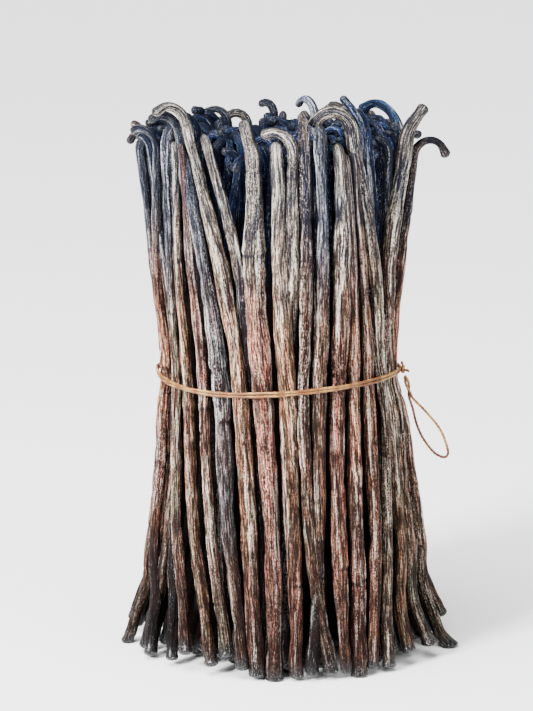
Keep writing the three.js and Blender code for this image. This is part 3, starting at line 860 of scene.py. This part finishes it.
def shapePod(pod, blank, rings, span, fine):
    rng = np.random.RandomState(podShape["seed"] + pod["index"])
    line, bodyLength = podLine(pod, span)
    length = lineLength(line)
    places = ringPlaces(length, rings, podShape)
    centre, side, out = strayLine(rng, pod, line, places, fine)
    foot, neck = pod["points"][0][2], pod["points"][4][2]
    beyond = np.clip((places - bodyLength) / max(length - bodyLength, 1), 0, 1) * (span != "foot")
    share = np.where(beyond > 0, 1, np.clip((centre[:, 2] - foot) / (neck - foot), 0, 1))
    width = halfWidths(rng, pod, centre, places, length, beyond, span, fine)
    row, angle = blank["row"], blank["angle"]
    along, fromTip = places[row], (length - places)[row]
    turned = angle + varied(rng, along, podShape["twist"])
    relief, groove, litRidges = podRelief(rng, pod, angle, turned, along, length, fine)
    fade = np.clip(np.minimum(along, fromTip) / 2.5, 0.25, 1) * blank["rim"]
    reach = width[row] * blank["rim"] + relief * fade * np.minimum(1, width / 2.1)[row] * (0.4 + 0.6 * fine)
    points = centre[row] + side[row] * (reach * np.cos(angle))[:, None]
    points += out[row] * (reach * np.sin(angle) * bundle["depthRatio"])[:, None]
    points[:, 2] = np.maximum(points[:, 2], 0)
    height = points[:, 2]
    half = pod["width"][2] / 2
    grain = np.stack([half * np.cos(turned), half * np.sin(turned), along], axis=1) + rng.uniform(0, 400, 3)
    tone = podTone(rng, pod, share[row], along, height)
    pale = np.clip(tone[:, 3] * (0.8 + varied(rng, along, podTones["paleWaver"])), 0, 1)
    pale *= 0.5 + 0.5 * grow(height, *podTones["paleFrom"])
    footEnd, tipEnd = podTones["endLengths"]
    ends = hill(along, 0, footEnd) * (span != "tip")
    ends += podTones["tipShare"] * hill(fromTip, 0, tipEnd) * (span != "foot")
    speckle = smooth(creases(rng, angle, along, 3, 30) * 1.4 + rng.uniform(-0.5, 0.5))
    marks = np.stack([np.clip(groove, 0, 1), np.clip(ends, 0, 1), speckle], axis=1)
    skin = np.stack([pale, litRidges, shadeOf(pod, angle, height)], axis=1)
    tone[:, 3] = 1 - podTones["warmLoss"] * grow(height, *podTones["warmTo"])
    return points, grain, tone, marks, skin


def pickTones(pod, rng):
    if pod["tone"]:
        return pod["tone"]
    # inner pods get near-black tones as painted shade
    if pod["layer"] >= 1:
        return (rng.choice(["navy", "soot"]), "night", "night")
    if pod["layer"] > 0:
        return ("navy", "umber", "umber")
    upper = rng.choice(["slate", "ash", "umber", "rose"])
    lower = rng.choice(["rust", "clay", "umber", "rose"])
    return (upper, rng.choice(["clay", "tan", "rose", "umber", "rust"]), lower)


def makePods(name, pods, sides, rings, fine=1.0, span="whole"):
    piece, blank = tubeSet(name, sides, rings, len(pods))
    made = [shapePod(pod, blank, rings, span, fine) for pod in pods]
    points, grain, tone, marks, skin = [np.concatenate(parts) for parts in zip(*made)]
    setPoints(piece, points + twine["shift"], grain=grain, tone=tone, marks=marks, skin=skin)
    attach(piece, "root")
    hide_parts("pods")
    triangles = sum(len(face.vertices) - 2 for face in piece.data.polygons)
    print(name, len(pods), "pods,", triangles, "triangles")
    return piece


def makeCore():  # painted shade: a near-black filling that hides the middles of the inner pods, where there is only shade
    inset = core["inset"]
    z = np.linspace(core["floor"], core["top"], core["rows"])
    radius = np.interp(z, bundle["heights"], bundle["halfDepth"]) - inset
    stretch = (np.interp(z, bundle["heights"], bundle["halfWidth"]) - inset) / radius
    centreX = np.interp(z, bundle["heights"], bundle["centreX"])
    bm = bmesh.new()
    outline = [(0, core["floor"]), *zip(radius, z), (0, core["top"])]
    corners = [bm.verts.new((r, 0, height)) for r, height in outline]
    for low, high in zip(corners, corners[1:]):
        bm.edges.new((low, high))
    bmesh.ops.spin(bm, geom=bm.verts[:] + bm.edges[:], cent=(0, 0, 0), axis=(0, 0, 1), dvec=(0, 0, 0),
                   angle=2 * math.pi, steps=core["sides"], use_merge=True)
    bmesh.ops.remove_doubles(bm, verts=bm.verts, dist=0.001)
    bmesh.ops.recalc_face_normals(bm, faces=bm.faces)
    mesh = bpy.data.meshes.new("bundle_core")
    bm.to_mesh(mesh)
    bm.free()
    piece = bpy.data.objects.new("bundle_core", mesh)
    scene.collection.objects.link(piece)
    points = np.array([vertex.co for vertex in mesh.vertices])
    around = np.arctan2(points[:, 1], points[:, 0])
    points[:, :2] *= 1 + core["ripple"] * np.cos(core["ripples"] * around)[:, None]
    points[:, 0] *= np.interp(points[:, 2], z, stretch)
    points[:, 0] += np.interp(points[:, 2], z, centreX)
    tone = np.tile(tones["night"][:3] + (1,), (len(points), 1))
    plain = np.zeros((len(points), 3))
    setPoints(piece, points + twine["shift"], grain=points, tone=tone, marks=plain, skin=plain)
    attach(piece, "root")
    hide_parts("pods")
    return piece


podGrains = {  # across, round and along a pod, then detail, roughness and warp
    "fibres": ((3.3, 3.3, 0.2), 2, 0.65, 0.2),
    "flecks": ((2.9, 2.9, 1.1), 2, 0.6, 0.4),
    "bands": ((1.0, 1.0, 0.07), 2, 0.5, 0),
    "lines": ((3.2, 3.2, 0.08), 1, 0.5, 0),
    "fine": ((3.4, 3.4, 2.2), 1, 0.6, 0.3),
    "cracks": ((0.7, 0.7, 2.0), 2, 0.6, 0.6),
    "hue": ((1.6, 1.6, 0.09), 3, 0.6, 0),
}
podMarks = {  # between which values of its pattern a mark comes in, and how much it shows
    "light": (0.41, 0.57, 1),
    "hue": (0.42, 0.58, 1),
    "wanted": (0.0, 0.2, 1),
    "cream": (0.635, 0.665, 0.9),
    "glints": (0.59, 0.63, 0.8),
    "grit": (0.36, 0.64, 1.1),
    "lines": (0.45, 0.41, 0.85),
    "cracks": (0.0012, 0.0002, 1),
    "pits": (0.40, 0.36, 1),
    "shine": (0.60, 0.64, 1),
    "endGlints": (0.62, 0.66, 0.35),
}
podHues = {
    "darkCool": (0.005, 0.009, 0.022, 1),
    "darkWarm": (0.009, 0.0035, 0.003, 1),
    "greenTint": (0.85, 1.0, 0.92, 1),
    "redTint": (1.32, 0.86, 0.80, 1),
    "paleCool": (0.39, 0.38, 0.37, 1),
    "paleWarm": (0.44, 0.38, 0.34, 1),
    "brighter": (1.6, 1.6, 1.6, 1),
    "shine": (0.60, 0.57, 0.52, 1),
    "end": (0.004, 0.004, 0.006, 1),
    "endGlint": (0.5, 0.5, 0.48, 1),
}


def podFinish():
    finish = Finish("cured_pod_skin")

    def mark(name, pattern):
        low, high, share = podMarks[name]
        return finish.step(pattern, low, high) * share

    grain = finish.attribute("grain", "Vector")
    tone = finish.attribute("tone", "Color")
    warmth = finish.attribute("tone", "Alpha")
    groove, ends, speckle = finish.split(finish.attribute("marks", "Vector"))
    pale, litRidges, shade = finish.split(finish.attribute("skin", "Vector"))
    patterns = {name: finish.noise(grain, *values) for name, values in podGrains.items()}
    fibres, flecks, bands = patterns["fibres"], patterns["flecks"], patterns["bands"]
    fine, cracks = patterns["fine"], patterns["cracks"] - 0.5

    # the skin itself, redder and greener in streaks
    value = 0.74 * fibres + 0.18 * flecks + 0.08 * bands
    # the lit ridges add a painted highlight and the grooves painted shade to the streaks
    light = mark("light", value + 0.06 * litRidges - 0.06 * groove)
    tint = finish.blend(mark("hue", patterns["hue"]), podHues["greenTint"], podHues["redTint"])
    colour = finish.blend(warmth, tone, finish.blend(1.0, tone, tint, "MULTIPLY"))
    colour = finish.blend(1.0, colour, 0.2 + 1.95 * (light * light), "MULTIPLY")

    # pale fibres, partly the skin's own colour and partly painted highlight, and painted glints, on the pods
    # that have them
    wanted = mark("wanted", pale)
    paleSkin = finish.blend(warmth, podHues["paleCool"], podHues["paleWarm"])
    creamHighlight = finish.blend(1.0, finish.blend(1.0, tone, podHues["brighter"], "MULTIPLY"), paleSkin, "ADD")
    fibrous = 0.65 * fibres + 0.15 * flecks + 0.2 * bands
    # cream streaks: pale fibres that also stand in as painted highlights
    colour = finish.blend(mark("cream", fibrous + 0.12 * pale + 0.13 * litRidges) * wanted, colour, creamHighlight)
    # painted glints: bright specks that stand in for highlights
    colour = finish.blend(mark("glints", flecks) * speckle * wanted, colour, creamHighlight)
    colour = finish.blend(1.0, colour, 0.45 + mark("grit", fine), "MULTIPLY")

    # dark lines, cracks and pits
    dark = finish.blend(warmth, podHues["darkCool"], podHues["darkWarm"])
    colour = finish.blend(mark("lines", patterns["lines"]), colour, dark)
    colour = finish.blend(mark("cracks", cracks * cracks) * (0.3 + 0.6 * speckle), colour, dark)
    colour = finish.blend(mark("pits", flecks) * (0.2 + 0.5 * speckle), colour, dark)
    # painted shade from the skin attribute multiplies the colour
    colour = finish.blend(1.0, colour, shade, "MULTIPLY")

    # painted oily sheen as a highlight, then painted shade in the grooves and the black ends with painted
    # glints over it all
    sheenPattern = 0.45 * fibres + 0.4 * fine + 0.15 * flecks + 0.12 * litRidges
    shine = mark("shine", sheenPattern) * wanted * (1 - ends) * (0.1 + 0.7 * pale)
    colour = finish.blend(shine, colour, podHues["shine"])
    # painted shade darkens the grooves
    colour = finish.blend(groove * 0.85, colour, dark)
    colour = finish.blend(ends * 0.94, colour, podHues["end"])
    # painted glints on the black ends
    colour = finish.blend(mark("endGlints", fine) * ends, colour, podHues["endGlint"])
    height = value + 0.3 * flecks + 0.35 * fine
    finish.shade(Base_Color=colour, Roughness=0.55 - 0.3 * ends, Normal=finish.bump(height, 0.0006, 1.0))
    finish.shade(Specular_IOR_Level=0.05, Coat_Weight=0.5 * ends, Coat_Roughness=0.25)
    return finish.material


pods = layOutPods()
for index, pod in enumerate(pods):
    pod["index"] = index
nearCount = len(nearPods) + len(crossingPods)
nearLeft = [pods[index] for index in (*range(9), 17, 20)]
nearRight = [pods[index] for index in (*range(9, 17), 18, 19)]
behind = [pod for pod in pods[nearCount:] if pod["layer"] < 1]
rising = [pod for pod in pods if pod["layer"] == 1 and pod["tone"]]
second = [pod for pod in pods if pod["layer"] == 1 and not pod["tone"]]
third = [pod for pod in pods if pod["layer"] == 2]
inner = [pod for pod in pods if pod["layer"] > 2]
podPieces = [  # sides round a pod, rings along it, and how fine its relief is
    makePods("pods_near_left", nearLeft, 48, 180),
    makePods("pods_near_right", nearRight, 48, 180),
    makePods("pods_far", behind, 32, 120, fine=0.9),
    makePods("pods_rising", rising, 48, 180, fine=0.8),
    makePods("pods_second_ring", second, 18, 90, fine=0.6),
    makePods("pods_third_ring", third, 12, 54, fine=0.4),
    makePods("pod_tips_inner", inner, 12, 26, fine=0.4, span="tip"),
    makePods("pod_feet_inner", inner, 10, 16, fine=0.3, span="foot"),
    makeCore(),
]
podMaterial = podFinish()
for piece in podPieces:
    piece.data.materials.append(podMaterial)
print("pods shaped:", len(pods))


# floor and light

room = {
    "floorSize": 6,
    "floorColour": (0.93, 0.93, 0.93, 1),
    "sky": 0.45,
    "aim": (0, 0, 0.09),
    "key": {"place": (-0.8, -0.8, 0.65), "size": 0.3, "power": 58},
    "fill": {"place": (0.9, -0.8, 0.5), "size": 0.6, "power": 8},
    "overhead": {"power": 7, "spread": 50, "tilt": (12, -14)},
}


def makeFloor():
    bm = bmesh.new()
    bmesh.ops.create_grid(bm, x_segments=1, y_segments=1, size=room["floorSize"])
    mesh = bpy.data.meshes.new("floor")
    bm.to_mesh(mesh)
    bm.free()
    floor = bpy.data.objects.new("floor", mesh)
    scene.collection.objects.link(floor)
    finish = Finish("pale_floor")
    finish.shade(Base_Color=room["floorColour"], Roughness=0.9, Specular_IOR_Level=0.1)
    mesh.materials.append(finish.material)


def makeSky():
    world = bpy.data.worlds.new("white_room")
    scene.world = world
    world.use_nodes = True
    background = world.node_tree.nodes["Background"]
    background.inputs["Color"].default_value = (1, 1, 1, 1)
    background.inputs["Strength"].default_value = room["sky"]


def makeLamp(name, kind, power):
    lamp = bpy.data.objects.new(name, bpy.data.lights.new(name, kind))
    lamp.data.energy = power
    scene.collection.objects.link(lamp)
    return lamp


def areaLight(name):
    lamp = makeLamp(name, "AREA", room[name]["power"])
    lamp.data.shape = "SQUARE"
    lamp.data.size = room[name]["size"]
    lamp.location = room[name]["place"]
    look = Vector(room["aim"]) - Vector(room[name]["place"])
    lamp.rotation_euler = look.to_track_quat("-Z", "Y").to_euler()


def sunLight(name):
    lamp = makeLamp(name, "SUN", room[name]["power"])
    lamp.data.angle = math.radians(room[name]["spread"])
    across, along = room[name]["tilt"]
    lamp.rotation_euler = (math.radians(across), math.radians(along), 0)


makeFloor()
makeSky()
areaLight("key")
areaLight("fill")
sunLight("overhead")
print("floor and light set")
